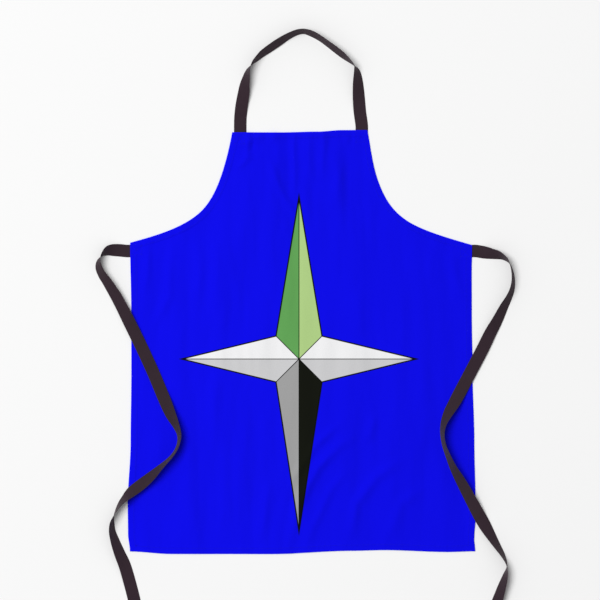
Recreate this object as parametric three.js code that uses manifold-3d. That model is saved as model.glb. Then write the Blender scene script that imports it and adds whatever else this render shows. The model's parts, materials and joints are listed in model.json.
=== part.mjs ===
// Adult's bib apron, laid flat on its back, as a three.js scene graph. Millimetres, +Z up.
//
// The origin is on the surface that the apron lies on, under the middle of the panel. +Y runs up the
// apron to the neck, +X is the right side as the front is looked at, and the front faces +Z.
// The pieces are laid out from the middle of the bottom hem, and moved to the origin together.
// The neck strap and the two waist ties are flat woven tape. They run out over the surface, stand on
// edge where they turn, and each tie crosses the front of the panel.

import * as THREE from "three";
import { mergeVertices } from "three/addons/utils/BufferGeometryUtils.js";
import Module from "manifold-3d";

const wasm = await Module();
wasm.setup();

// ---------------------------------------------------------------- driving dimensions

// Body panel, measured flat with its hems turned.
const PANEL_WIDTH = 686;
const PANEL_LENGTH = 840;
const BIB_WIDTH = 272;
const ARMHOLE_DEPTH = 224; // from the bib's top edge down to the waist corners
const PANEL_THICKNESS = 1.8; // three layers of cloth, as at a hem
const CLOTH_THICKNESS = 0.6; // what is left of the panel above the label
const HEM_WIDTH = 13;

// The armhole is one sweep from the bib's corner to the waist corner. Each end's handle is a share
// of the sweep's run across and of its rise.
const ARMHOLE_BIB_HANDLE = { across: 0.136, along: 0.7 };
const ARMHOLE_WAIST_HANDLE = { across: 0.737, along: 0.186 };

// Woven tape of the strap and the ties.
const TAPE_WIDTH = 25;
const TAPE_THICKNESS = 0.8;
const TAPE_REST_HEIGHT = 0.1; // under a tape that lies on the surface
const SEWN_LENGTH = 26; // how far each tape end reaches under the panel
const TIE_LENGTH = 915; // from the side seam to the tie's hemmed end
const TIE_CORNER_INSET = 1.5; // from the waist corner down to the tie's upper edge
const STRAP_CORNER_INSET = 2; // from the bib's corner to the strap's outer edge
const STRAP_FOLD_OFFSET = 2; // from the bib's top edge to where the strap starts to fold

// Sewing thread, as one plain band for each row of stitches.
const THREAD_WIDTH = 0.8;
const THREAD_HEIGHT = 0.4;
const HEM_STITCH_INSET = 2; // from the hem's inner fold to its row of stitches
const BOX_STITCH_INSET = 3; // from the edges of a sewn tape end to the box stitched on it
const TIE_HEM = 10; // from the tie's end to its row of stitches
const TIE_HEM_MARGIN = 2; // from the row's ends to the tape's edges

// Care label on the back, with one edge caught in the left side hem.
const LABEL_WIDTH = 16;
const LABEL_HEIGHT = 30;
const LABEL_THICKNESS = 0.4;
const LABEL_UP = 150; // from the bottom hem to the label's lower edge

// Clearances.
const SEAM_GAP = 0.3; // between sewn pieces
const THREAD_GAP = 3; // from the end of one row of stitches to the next row
const TAPE_STEP = 30; // longest straight facet along a tape
const CURVE_STEPS = 24; // facets along an armhole

const COLOURS = { cloth: 0x0f0fe4, tape: 0x352a2f, thread: 0x1212c8, label: 0xf2f0ec };

const bibHalf = BIB_WIDTH / 2;
const panelHalf = PANEL_WIDTH / 2;
const strapCentre = bibHalf - STRAP_CORNER_INSET - TAPE_WIDTH / 2;
const waistHeight = PANEL_LENGTH - ARMHOLE_DEPTH;
const tieCentre = waistHeight - TIE_CORNER_INSET - TAPE_WIDTH / 2;
const stitchInset = HEM_WIDTH - HEM_STITCH_INSET;

// ---------------------------------------------------------------- tape routes

// Each row is [across, along, lift, roll]: the first two place the tape's centre line from the
// middle of its seam, lift is the height of its lowest edge above the surface, and roll is its turn
// in degrees about its own line, 0 face up, 90 or -90 on edge and 180 face down.

const LEFT_TIE_ROUTE = [
  [0, 0, 0.1, 0], [-6, 0, 0.1, 0], [-21, 1.4, 0.1, -6], [-39, 1, 0.1, -28], [-49, -4, 0.1, -60],
  [-57.4, -11.6, 0.1, -90], [-61.4, -20.6, 0.1, -109], [-61.2, -32, 0.1, -124],
  [-55.4, -46, 0.2, -132], [-44.4, -62, 1.2, -141], [-22.6, -98, 3.2, -157],
  [1.6, -146, 3.4, -172], [25, -194, 3.4, -180], [47, -242, 3.4, -180],
  [67, -290, 3.4, -176], [82, -326, 3.4, -150], [93.6, -350, 3.4, -124],
  [99.4, -367, 3.4, -112], [98.2, -384, 3.4, -105], [92.2, -399, 3.4, -103],
  [83.6, -411, 3.4, -104], [71.8, -423, 3.4, -109], [60, -434, 3.4, -119],
  [47.6, -446, 3.4, -133], [34, -458, 3.4, -146], [19, -470, 3.4, -153],
  [4.6, -481, 3.4, -147], [-9, -494, 2.2, -124], [-19.8, -507, 0.4, -109],
  [-31, -529, 0.1, -90], [-34.4, -544, 0.1, -70], [-34.2, -560, 0.1, -59],
  [-28.6, -580, 0.1, -45], [-19.8, -604, 0.1, -29], [-9.8, -628, 0.1, -13],
  [0.2, -662, 0.1, -2], [9.4, -698, 0.1, 0], [32, -808, 0.1, 0],
];

const RIGHT_TIE_ROUTE = [
  [0, 0, 0.1, 0], [6, 0, 0.1, 0], [19, -2, 0.1, 5], [37.6, -5.6, 0.1, 33], [50, -8, 0.1, 46],
  [61, -12.6, 0.1, 66], [69, -18.4, 0.1, 78], [73.4, -24.4, 0.1, 90],
  [78, -35, 0.1, 98], [80.8, -50, 0.1, 104], [81, -64, 0.1, 109],
  [78, -80, 0.1, 116], [71.6, -95, 0.1, 123], [62.6, -112, 0.2, 135],
  [49.8, -138, 1.4, 149], [35, -165, 3, 165], [21, -194, 3.4, 177],
  [-4, -242, 3.4, 180], [-23, -278, 3.4, 184], [-36, -302, 3.4, 200],
  [-50, -326, 3.4, 223], [-57, -342, 3.4, 238], [-60.4, -358, 3.4, 248],
  [-60, -374, 3.4, 252], [-56.6, -390, 3.4, 251], [-49, -410, 3.4, 246],
  [-38.4, -434, 3.4, 235], [-25, -458, 3.4, 219], [-5.4, -494, 3.4, 203],
  [14, -530, 3, 184], [35, -566, 0.6, 145], [49.6, -590, 0.1, 124],
  [59.6, -606, 0.1, 112], [66.6, -621, 0.1, 100], [68.4, -632, 0.1, 90],
  [65, -650, 0.1, 66], [57.6, -674, 0.1, 48], [50, -698, 0.1, 34],
  [43, -720, 0.1, 14], [37, -738, 0.1, 0], [15, -808, 0.1, 0],
];

// The strap's rows are placed from the middle of the bib and the strap's own foot. Their first value
// is drawn for the spread of the first row, and is spread or drawn in with the strap's ends.
const STRAP_ROUTE = [
  [-121.5, 0, 0.1, 0], [-121.5, 10, 0.1, 0], [-121, 28, 0.1, 0], [-118.5, 52, 0.1, -8],
  [-114.5, 76, 0.1, -20], [-112.5, 92, 0.1, -37], [-110, 104, 0.1, -50],
  [-107.5, 116, 0.1, -65], [-104.5, 124, 0.1, -76], [-100, 131.4, 0.1, -90],
  [-94, 138.6, 0.3, -104], [-86, 146, 0.6, -114], [-77.5, 154, 1, -121],
  [-66.5, 162, 1.4, -126], [-44.5, 177, 2, -127], [-26, 188.6, 2, -120], [-6, 197.4, 2, -115],
  [7, 198.6, 2, -113], [22, 194, 2, -117], [38.5, 184.8, 2, -115], [55, 173, 1.6, -116],
  [72, 160.2, 1, -119], [86, 149, 0.6, -115], [96.5, 140, 0.3, -104],
  [106, 131, 0.1, -90], [110.5, 123.4, 0.1, -68], [112.5, 115.6, 0.1, -55],
  [113.8, 100, 0.1, -38], [114.6, 84, 0.1, -25], [116, 60, 0.1, -10], [118, 36, 0.1, 0],
  [121.5, 10, 0.1, 0], [121.5, 0, 0.1, 0],
];

// Where each tie's tape first stands on edge, as a row of its route: the tie turns there.
const LEFT_TIE_TURN = 5;
const RIGHT_TIE_TURN = 7;

// ---------------------------------------------------------------- solids

function manifoldOf(geometry) {
  const bare = geometry.clone();
  bare.deleteAttribute("normal");
  bare.deleteAttribute("uv");
  const merged = mergeVertices(bare);
  return new wasm.Manifold(
    new wasm.Mesh({
      numProp: 3,
      vertProperties: merged.attributes.position.array,
      triVerts: new Uint32Array(merged.index.array),
    }),
  );
}

function geometryOf(manifold) {
  const { vertProperties, triVerts } = manifold.getMesh();
  return new THREE.BufferGeometry()
    .setAttribute("position", new THREE.BufferAttribute(vertProperties, 3))
    .setIndex(new THREE.BufferAttribute(triVerts, 1));
}

function cut(geometry, tools) {
  return geometryOf(tools.reduce((s, t) => s.subtract(manifoldOf(t)), manifoldOf(geometry)));
}

function join(geometries) {
  return geometryOf(geometries.map(manifoldOf).reduce((sum, s) => sum.add(s)));
}

// A box between two corners.
function block(low, high) {
  const size = high.map((h, i) => h - low[i]);
  const middle = high.map((h, i) => (h + low[i]) / 2);
  return new THREE.BoxGeometry(...size).translate(...middle);
}

const root = new THREE.Group();
const apron = new THREE.Group();
apron.position.y = -PANEL_LENGTH / 2;
root.add(apron);

function add(name, geometry, color, roughness) {
  const material = new THREE.MeshStandardMaterial({ color, roughness, metalness: 0 });
  const mesh = new THREE.Mesh(geometry, material);
  mesh.name = name;
  apron.add(mesh);
}

const SIDES = [
  { name: "left", sign: -1 },
  { name: "right", sign: 1 },
];

// ---------------------------------------------------------------- body panel

// The armhole on one side, from the bib's corner down to the waist corner.
function armhole(sign) {
  const run = panelHalf - bibHalf;
  const { across: ba, along: bb } = ARMHOLE_BIB_HANDLE;
  const { across: wa, along: wb } = ARMHOLE_WAIST_HANDLE;
  return new THREE.CubicBezierCurve(
    new THREE.Vector2(sign * bibHalf, PANEL_LENGTH),
    new THREE.Vector2(sign * (bibHalf + ba * run), PANEL_LENGTH - bb * ARMHOLE_DEPTH),
    new THREE.Vector2(sign * (panelHalf - wa * run), waistHeight + wb * ARMHOLE_DEPTH),
    new THREE.Vector2(sign * panelHalf, waistHeight),
  );
}

function panelShape() {
  const corners = [new THREE.Vector2(-panelHalf, 0), new THREE.Vector2(panelHalf, 0)];
  const rightUp = armhole(1).getPoints(CURVE_STEPS).reverse();
  const leftDown = armhole(-1).getPoints(CURVE_STEPS);
  return new THREE.Shape([...corners, ...rightUp, ...leftDown]);
}

// The hollow on the panel's back that a piece of this footprint lies in.
function recess([x0, y0], [x1, y1], top) {
  const g = SEAM_GAP;
  return block([x0 - g, y0 - g, -1], [x1 + g, y1 + g, top + g]);
}

const tapeTop = TAPE_REST_HEIGHT + TAPE_THICKNESS;
const labelTop = PANEL_THICKNESS - CLOTH_THICKNESS - SEAM_GAP;
const labelLow = [-panelHalf + HEM_WIDTH, LABEL_UP];
const labelHigh = [labelLow[0] + LABEL_WIDTH, LABEL_UP + LABEL_HEIGHT];

const recesses = [recess(labelLow, labelHigh, labelTop)];
for (const { sign } of SIDES) {
  const x = sign * strapCentre;
  recesses.push(
    recess(
      [x - TAPE_WIDTH / 2, PANEL_LENGTH - SEWN_LENGTH],
      [x + TAPE_WIDTH / 2, PANEL_LENGTH + 1],
      tapeTop,
    ),
  );
  const inner = sign * (panelHalf - SEWN_LENGTH);
  const outer = sign * (panelHalf + 1);
  recesses.push(
    recess(
      [Math.min(inner, outer), tieCentre - TAPE_WIDTH / 2],
      [Math.max(inner, outer), tieCentre + TAPE_WIDTH / 2],
      tapeTop,
    ),
  );
}

const panel = new THREE.ExtrudeGeometry(panelShape(), {
  depth: PANEL_THICKNESS,
  bevelEnabled: false,
});
add("body_panel", cut(panel, recesses), COLOURS.cloth, 0.75);

add(
  "care_label",
  block([...labelLow, labelTop - LABEL_THICKNESS], [...labelHigh, labelTop]),
  COLOURS.label,
  0.6,
);

// ---------------------------------------------------------------- tape

class TapeRoute {
  // rows are [x, y, lift, roll] in the apron's frame.
  constructor(rows) {
    this.rows = rows;
    this.line = new THREE.CatmullRomCurve3(
      rows.map(([x, y]) => new THREE.Vector3(x, y, 0)),
      false,
      "centripetal",
    );
    this.line.arcLengthDivisions = rows.length * 40;
    this.length = this.line.getLength();
  }

  // The tape's centre, the way across its width, its face's normal and its direction at a distance.
  at(distance) {
    const share = THREE.MathUtils.clamp(distance / this.length, 0, 1);
    const step = this.line.getUtoTmapping(share, 0) * (this.rows.length - 1);
    const i = Math.min(Math.floor(step), this.rows.length - 2);
    const mix = (column) =>
      THREE.MathUtils.lerp(this.rows[i][column], this.rows[i + 1][column], step - i);
    const roll = THREE.MathUtils.degToRad(mix(3));
    const centre = this.line.getPointAt(share);
    const onEdge = Math.abs(Math.sin(roll)) * (TAPE_WIDTH / 2);
    const flat = Math.abs(Math.cos(roll)) * (TAPE_THICKNESS / 2);
    centre.z = mix(2) + onEdge + flat;
    const along = this.line.getTangentAt(share);
    const across = new THREE.Vector3(-along.y, along.x, 0)
      .multiplyScalar(Math.cos(roll))
      .addScaledVector(new THREE.Vector3(0, 0, 1), Math.sin(roll));
    return { centre, across, normal: along.clone().cross(across), along };
  }

  // How far along the route a row lies.
  distanceTo(row) {
    const lengths = this.line.getLengths();
    return lengths[Math.round((row / (this.rows.length - 1)) * (lengths.length - 1))];
  }
}

// Splits a box's lower face along the same diagonals as its upper one, so that the box keeps its
// thickness when it is twisted.
function matchDiagonals(box) {
  const { start, count } = box.groups[3];
  const index = box.index.array;
  for (let i = start; i < start + count; i += 6) {
    const [a, b, d, , c] = index.slice(i, i + 6);
    index.set([a, b, c, a, c, d], i);
  }
}

// Distances along a route from one place to another, no more than a facet apart.
function stations(from, to) {
  const steps = Math.ceil((to - from) / TAPE_STEP);
  return Array.from({ length: steps + 1 }, (_, i) => from + ((to - from) * i) / steps);
}

// Flat tape through a route's stations: a box with one division for each facet, bent to follow it.
function ribbon(route, distances) {
  const steps = distances.length - 1;
  const tape = new THREE.BoxGeometry(TAPE_WIDTH, TAPE_THICKNESS, steps, 1, 1, steps);
  matchDiagonals(tape);
  const position = tape.attributes.position;
  for (let i = 0; i < position.count; i++) {
    const station = Math.round(position.getZ(i) + steps / 2);
    const { centre, across, normal } = route.at(distances[station]);
    centre.addScaledVector(across, position.getX(i)).addScaledVector(normal, position.getY(i));
    position.setXYZ(i, centre.x, centre.y, centre.z);
  }
  return tape;
}

function placed(rows, x, y, spread = 1) {
  return rows.map(([across, along, lift, roll]) => [x + spread * across, y + along, lift, roll]);
}

// Neck strap, and its two sewn ends under the bib.
const strapFoot = PANEL_LENGTH + STRAP_FOLD_OFFSET;
const strapSpread = strapCentre / -STRAP_ROUTE[0][0];
const strapRoute = new TapeRoute(placed(STRAP_ROUTE, 0, strapFoot, strapSpread));
add("neck_strap", ribbon(strapRoute, stations(0, strapRoute.length)), COLOURS.tape, 0.9);

for (const { name, sign } of SIDES) {
  const x = sign * strapCentre;
  const end = block(
    [x - TAPE_WIDTH / 2, PANEL_LENGTH - SEWN_LENGTH, TAPE_REST_HEIGHT],
    [x + TAPE_WIDTH / 2, strapFoot - SEAM_GAP, tapeTop],
  );
  add("neck_strap_end_" + name, end, COLOURS.tape, 0.9);
}

// Waist ties: the base is sewn under the panel and runs out to the turn, and the tie goes on from it.
// The base's first facet reaches past the panel's edge to the end of the route's straight run.
function addTie({ name, sign }, rows, turnRow) {
  const sewnStart = [-sign * SEWN_LENGTH, 0, TAPE_REST_HEIGHT, 0];
  const route = new TapeRoute(placed([sewnStart, ...rows], sign * panelHalf, tieCentre));
  const turn = route.distanceTo(turnRow + 1);
  const end = SEWN_LENGTH + TIE_LENGTH;
  const baseStations = [0, ...stations(route.distanceTo(2), turn - SEAM_GAP / 2)];
  add("waist_tie_base_" + name, ribbon(route, baseStations), COLOURS.tape, 0.9);
  const tieStations = stations(turn + SEAM_GAP / 2, end);
  add("waist_tie_" + name, ribbon(route, tieStations), COLOURS.tape, 0.9);

  // The row of stitches across the tie's turned end, on the side that faces up.
  const { centre, along } = route.at(end - TIE_HEM);
  const rowLength = TAPE_WIDTH - 2 * TIE_HEM_MARGIN;
  const row = new THREE.BoxGeometry(rowLength, THREAD_WIDTH, THREAD_HEIGHT)
    .rotateZ(Math.atan2(along.y, along.x) - Math.PI / 2)
    .translate(centre.x, centre.y, tapeTop + SEAM_GAP + THREAD_HEIGHT / 2);
  add("tie_end_thread_" + name, row, COLOURS.tape, 0.8);
}

addTie(SIDES[0], LEFT_TIE_ROUTE, LEFT_TIE_TURN);
addTie(SIDES[1], RIGHT_TIE_ROUTE, RIGHT_TIE_TURN);

// ---------------------------------------------------------------- stitching

const threadLow = PANEL_THICKNESS + SEAM_GAP;
const threadHigh = threadLow + THREAD_HEIGHT;

// A straight row of stitches, square to the axes, between two points on the panel.
function straightRow([x0, y0], [x1, y1]) {
  const half = THREAD_WIDTH / 2;
  return block(
    [Math.min(x0, x1) - half, Math.min(y0, y1) - half, threadLow],
    [Math.max(x0, x1) + half, Math.max(y0, y1) + half, threadHigh],
  );
}

// A box of stitches with a cross in it, centred on a sewn tape end.
function boxStitch(x, y, width, height) {
  const [w, h] = [width / 2, height / 2];
  const diagonal = Math.hypot(width, height);
  const slope = Math.atan2(height, width);
  const middle = (threadLow + threadHigh) / 2;
  const crossing = [slope, -slope].map((turn) =>
    new THREE.BoxGeometry(diagonal, THREAD_WIDTH, THREAD_HEIGHT)
      .rotateZ(turn)
      .translate(x, y, middle),
  );
  return join([
    straightRow([x - w, y - h], [x + w, y - h]),
    straightRow([x - w, y + h], [x + w, y + h]),
    straightRow([x - w, y - h], [x - w, y + h]),
    straightRow([x + w, y - h], [x + w, y + h]),
    ...crossing,
  ]);
}

const boxAcross = TAPE_WIDTH - 2 * BOX_STITCH_INSET;
const boxAlong = SEWN_LENGTH - 2 * BOX_STITCH_INSET;
const strapBoxY = PANEL_LENGTH - SEWN_LENGTH / 2;
const tieBoxX = panelHalf - SEWN_LENGTH / 2;
const strapBoxInner = strapCentre - boxAcross / 2;
const tieBoxInner = tieBoxX - boxAlong / 2;
const strapBoxLow = strapBoxY - boxAlong / 2;
const tieBoxLow = tieCentre - boxAcross / 2;

const topEnd = strapBoxInner - THREAD_GAP;
const topY = PANEL_LENGTH - stitchInset;
const sideX = panelHalf - stitchInset;

add("hem_thread_top", straightRow([-topEnd, topY], [topEnd, topY]), COLOURS.thread, 0.6);
add(
  "hem_thread_bottom",
  straightRow([-sideX, stitchInset], [sideX, stitchInset]),
  COLOURS.thread,
  0.6,
);

// The stitches along an armhole run beside its edge, between the boxes at its two ends.
function armholeRow(sign) {
  const curve = armhole(sign);
  const line = [];
  for (let i = 0; i <= 2 * CURVE_STEPS; i++) {
    const point = curve.getPoint(i / (2 * CURVE_STEPS));
    const way = curve.getTangent(i / (2 * CURVE_STEPS));
    const inward = new THREE.Vector2(way.y, -way.x).multiplyScalar(sign);
    const seat = point.addScaledVector(inward, stitchInset);
    const clearOfStrap = seat.y < strapBoxLow - THREAD_GAP;
    const clearOfTie = Math.abs(seat.x) < tieBoxInner - THREAD_GAP;
    if (clearOfStrap && clearOfTie) line.push({ seat, inward });
  }
  const beside = (offset) => line.map(({ seat, inward }) => seat.clone().addScaledVector(inward, offset));
  const band = new THREE.Shape([...beside(THREAD_WIDTH / 2), ...beside(-THREAD_WIDTH / 2).reverse()]);
  return new THREE.ExtrudeGeometry(band, { depth: THREAD_HEIGHT, bevelEnabled: false }).translate(
    0,
    0,
    threadLow,
  );
}

for (const { name, sign } of SIDES) {
  const x = sign * sideX;
  const side = straightRow([x, stitchInset + THREAD_GAP], [x, tieBoxLow - THREAD_GAP]);
  add("hem_thread_side_" + name, side, COLOURS.thread, 0.6);
  add("hem_thread_armhole_" + name, armholeRow(sign), COLOURS.thread, 0.6);
  add(
    "box_stitch_neck_" + name,
    boxStitch(sign * strapCentre, strapBoxY, boxAcross, boxAlong),
    COLOURS.thread,
    0.6,
  );
  add(
    "box_stitch_waist_" + name,
    boxStitch(sign * tieBoxX, tieCentre, boxAlong, boxAcross),
    COLOURS.thread,
    0.6,
  );
}

export default root;
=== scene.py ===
"""Adult's bib apron of printed woven cloth, laid flat on its back with its strap and ties loose.

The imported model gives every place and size. The cloth, the woven tapes, the stitching and the care
label are made here as they look, and each one rides on the body that carries it.
"""

import json
import logging
import math
from dataclasses import dataclass, field
from enum import Enum
from typing import Sequence

import bpy
import numpy as np
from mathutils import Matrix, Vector


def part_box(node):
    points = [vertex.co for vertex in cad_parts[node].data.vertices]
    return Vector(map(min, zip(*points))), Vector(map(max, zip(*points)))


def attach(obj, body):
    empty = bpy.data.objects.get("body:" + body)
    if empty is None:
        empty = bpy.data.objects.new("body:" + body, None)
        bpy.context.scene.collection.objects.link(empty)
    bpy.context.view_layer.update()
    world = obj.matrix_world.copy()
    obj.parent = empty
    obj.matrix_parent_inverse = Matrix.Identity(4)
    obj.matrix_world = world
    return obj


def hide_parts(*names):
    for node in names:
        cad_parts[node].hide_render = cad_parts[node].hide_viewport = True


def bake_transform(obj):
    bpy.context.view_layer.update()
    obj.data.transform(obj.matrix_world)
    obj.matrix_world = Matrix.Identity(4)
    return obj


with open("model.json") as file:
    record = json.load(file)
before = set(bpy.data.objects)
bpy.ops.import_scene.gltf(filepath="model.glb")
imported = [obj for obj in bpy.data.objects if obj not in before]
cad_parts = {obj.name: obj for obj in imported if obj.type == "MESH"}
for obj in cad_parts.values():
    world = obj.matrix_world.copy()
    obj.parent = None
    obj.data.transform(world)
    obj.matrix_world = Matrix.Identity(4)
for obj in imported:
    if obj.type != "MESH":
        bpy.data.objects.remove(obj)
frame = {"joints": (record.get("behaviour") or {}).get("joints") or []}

log = logging.getLogger("apron")

Point = tuple[float, float]
Row = tuple[float, float, float, float]
Colour = tuple[float, float, float, float]
Faces = list[tuple[int, ...]]


# ---- node helpers


class Term:
    """A number in a node tree, which adds Math nodes as it is worked with."""

    def __init__(self, graph: "Graph", socket: bpy.types.NodeSocket) -> None:
        """Wraps a socket of a graph."""
        self.graph, self.socket = graph, socket

    def math(self, operation: str, *others: "Term | float") -> "Term":
        """Adds one Math node on this term and the values after it."""
        values = dict(enumerate((self, *others)))
        return self.graph.term(self.graph.node("ShaderNodeMath", {"operation": operation}, values))

    def _reflected(self, operation: str, first: float) -> "Term":
        """Adds one Math node whose first value is a plain number."""
        values = {0: first, 1: self}
        return self.graph.term(self.graph.node("ShaderNodeMath", {"operation": operation}, values))

    def __add__(self, other: "Term | float") -> "Term":
        """self + other."""
        return self.math("ADD", other)

    __radd__ = __add__

    def __sub__(self, other: "Term | float") -> "Term":
        """self - other."""
        return self.math("SUBTRACT", other)

    def __rsub__(self, other: float) -> "Term":
        """other - self."""
        return self._reflected("SUBTRACT", other)

    def __mul__(self, other: "Term | float") -> "Term":
        """self * other."""
        return self.math("MULTIPLY", other)

    __rmul__ = __mul__

    def __truediv__(self, other: "Term | float") -> "Term":
        """self / other."""
        return self.math("DIVIDE", other)

    def __neg__(self) -> "Term":
        """-self."""
        return self.math("MULTIPLY", -1.0)

    def __abs__(self) -> "Term":
        """The size of self."""
        return self.math("ABSOLUTE")

    def above(self, level: "Term | float", softness: float) -> "Term":
        """Steps softly from 0 to 1 as self passes a level.

        Args:
            level: the value at which the step is halfway.
            softness: how far the step reaches on each side.

        Returns:
            The step, from 0 to 1.
        """
        sockets = {0: self - level, 1: -softness, 2: softness, 3: 0.0, 4: 1.0}
        node = self.graph.node("ShaderNodeMapRange", {"interpolation_type": "SMOOTHSTEP"}, sockets)
        return self.graph.term(node)

    def bell(self, centre: float, width: float) -> "Term":
        """A soft hump that is 1 at a centre and falls off over a width."""
        gap = (self - centre) / width
        return (-(gap * gap)).math("EXPONENT")

    def wave(self, pitch: float) -> "Term":
        """A sine wave with one crest to each pitch."""
        return (self * (2 * math.pi / pitch)).math("SINE")


class Graph:
    """A node tree that is filled by one method."""

    def __init__(self, tree: bpy.types.NodeTree) -> None:
        """Starts on an empty tree."""
        self.tree = tree
        tree.nodes.clear()

    def node(self, kind: str, settings: dict | None = None, inputs: dict | None = None) -> bpy.types.Node:
        """Adds a node, sets it up and then fills its sockets.

        Args:
            kind: the node's type.
            settings: its own settings.
            inputs: the value or the link of each socket, by name or number.

        Returns:
            The node.
        """
        made = self.tree.nodes.new(kind)
        for name, value in (settings or {}).items():
            setattr(made, name, value)
        for key, value in (inputs or {}).items():
            if isinstance(value, Term):
                value = value.socket
            if isinstance(value, bpy.types.NodeSocket):
                self.tree.links.new(value, made.inputs[key])
            else:
                made.inputs[key].default_value = value
        return made

    def term(self, node: bpy.types.Node, output: int | str = 0) -> Term:
        """Wraps a node's output."""
        return Term(self, node.outputs[output])

    def place(self) -> bpy.types.NodeSocket:
        """The place on the piece, in metres in the apron's frame."""
        return self.node("ShaderNodeTexCoord").outputs["Object"]

    def attribute(self, name: str) -> Term:
        """A number that is stored on the mesh."""
        return self.term(self.node("ShaderNodeAttribute", {"attribute_name": name}), "Fac")

    def split(self, vector: object) -> tuple[Term, Term]:
        """The first two numbers of a vector."""
        node = self.node("ShaderNodeSeparateXYZ", {}, {0: vector})
        return self.term(node, 0), self.term(node, 1)

    def mix(self, factor: Term, a: object, b: object) -> bpy.types.NodeSocket:
        """Mixes two colours or their sockets: all of the first at 0, all of the second at 1."""
        node = self.node("ShaderNodeMix", {"data_type": "RGBA"}, {0: factor, 6: a, 7: b})
        return node.outputs[2]

    def scale(self, colour: object, amount: Term) -> bpy.types.NodeSocket:
        """Makes a colour lighter or darker.

        Args:
            colour: the colour, or its socket.
            amount: the factor, 1 for no change.

        Returns:
            The changed colour's socket.
        """
        if isinstance(colour, tuple):
            colour = colour[:3]
        inputs = {0: colour, "Scale": amount}
        return self.node("ShaderNodeVectorMath", {"operation": "SCALE"}, inputs).outputs[0]

    def stretched(self, vector: object, x: float, y: float) -> bpy.types.NodeSocket:
        """Stretches the flat place at which a pattern is read."""
        inputs = {0: vector, 1: (x, y, 0.0)}
        return self.node("ShaderNodeVectorMath", {"operation": "MULTIPLY"}, inputs).outputs[0]

    def noise(self, vector: object, scale: float, detail: float = 2.0) -> Term:
        """Smooth noise about 0, with a number of lumps to the metre and of finer layers."""
        inputs = {"Vector": vector, "Scale": scale, "Detail": detail}
        return self.term(self.node("ShaderNodeTexNoise", {}, inputs)) - 0.5


@dataclass(frozen=True)
class Sheen:
    """The glow of fibres that are seen edge on."""

    weight: float
    roughness: float
    tint: Colour


def shader(name: str) -> tuple[bpy.types.Material, Graph]:
    """Makes a material with an empty node tree.

    Args:
        name: the finish's name.

    Returns:
        The material and its graph.
    """
    material = bpy.data.materials.new(name)
    material.use_nodes = True
    return material, Graph(material.node_tree)


def finish_surface(
    graph: Graph,
    colour: object,
    roughness: float,
    height: Term,
    specular: float,
    sheen: Sheen | None = None,
) -> None:
    """Ends a finish in one Principled shader with a bump.

    Args:
        graph: the finish's graph.
        colour: its colour, or the colour's socket.
        roughness: its roughness.
        height: the surface's relief in metres.
        specular: how strongly it mirrors.
        sheen: its glow, if it has one.
    """
    bump = graph.node("ShaderNodeBump", {}, {"Strength": 1.0, "Distance": 1.0, "Height": height})
    inputs = {
        "Base Color": colour,
        "Roughness": roughness,
        "Normal": bump.outputs[0],
        "Specular IOR Level": specular,
    }
    if sheen:
        inputs["Sheen Weight"] = sheen.weight
        inputs["Sheen Roughness"] = sheen.roughness
        inputs["Sheen Tint"] = sheen.tint
    surface = graph.node("ShaderNodeBsdfPrincipled", {}, inputs)
    graph.node("ShaderNodeOutputMaterial", {}, {"Surface": surface.outputs[0]})


# ---- finishes


@dataclass(frozen=True)
class StarPrint:
    """A plain faceted star of four long points, printed in the middle of the front."""

    centre: Point = (-0.004, -0.034)
    up: float = 0.325
    down: float = 0.345
    side: float = 0.235
    notch: float = 0.046
    line: float = 0.0017
    border: float = 0.0028
    softness: float = 0.0003
    up_colours: tuple[Colour, Colour] = ((0.112, 0.335, 0.088, 1), (0.395, 0.570, 0.220, 1))
    side_colours: tuple[Colour, Colour] = ((0.55, 0.55, 0.56, 1), (0.80, 0.80, 0.81, 1))
    down_colours: tuple[Colour, Colour] = ((0.318, 0.318, 0.318, 1), (0.006, 0.007, 0.004, 1))
    ink: Colour = (0.004, 0.004, 0.003, 1)

    def paint(self, graph: Graph, x: Term, y: Term, ground: object) -> bpy.types.NodeSocket:
        """Prints the star on a ground colour.

        Args:
            graph: the cloth's graph.
            x: the place across the cloth, in metres.
            y: the place up the cloth, in metres.
            ground: the cloth's own colour.

        Returns:
            The printed colour's socket.
        """
        edge = self.softness
        dx, dy = x - self.centre[0], y - self.centre[1]
        across, along = abs(dx), abs(dy)
        upper = dy.above(0.0, edge)
        right = dx.above(0.0, edge)
        upright = (along - across).above(0.0, edge)
        reach = upper * self.up + (1 - upper) * self.down
        tall = reach - self.notch
        wide = self.side - self.notch
        to_tip = (reach - along) * self.notch - across * tall
        tall_edge = to_tip / ((tall * tall) + self.notch**2).math("SQRT")
        to_side = (self.side - across) * self.notch - along * wide
        side_edge = to_side / math.hypot(wide, self.notch)
        inside = upright * tall_edge + (1 - upright) * side_edge

        up_arm = graph.mix(right, *self.up_colours)
        down_arm = graph.mix(right, *self.down_colours)
        side_arm = graph.mix(upper, *self.side_colours)
        tall_arm = graph.mix(upper, down_arm, up_arm)
        star = graph.mix(upright, side_arm, tall_arm)
        spine = upright * across + (1 - upright) * along
        fold = abs(along - across) * math.sqrt(0.5)
        within = inside.above(0.0, edge)
        inner = (1 - spine.math("MINIMUM", fold).above(self.line / 2, edge)) * within
        outer = 1 - abs(inside).above(self.border / 2, edge)
        printed = graph.mix(within, ground, star)
        return graph.mix(inner.math("MAXIMUM", outer), printed, self.ink)


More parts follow.
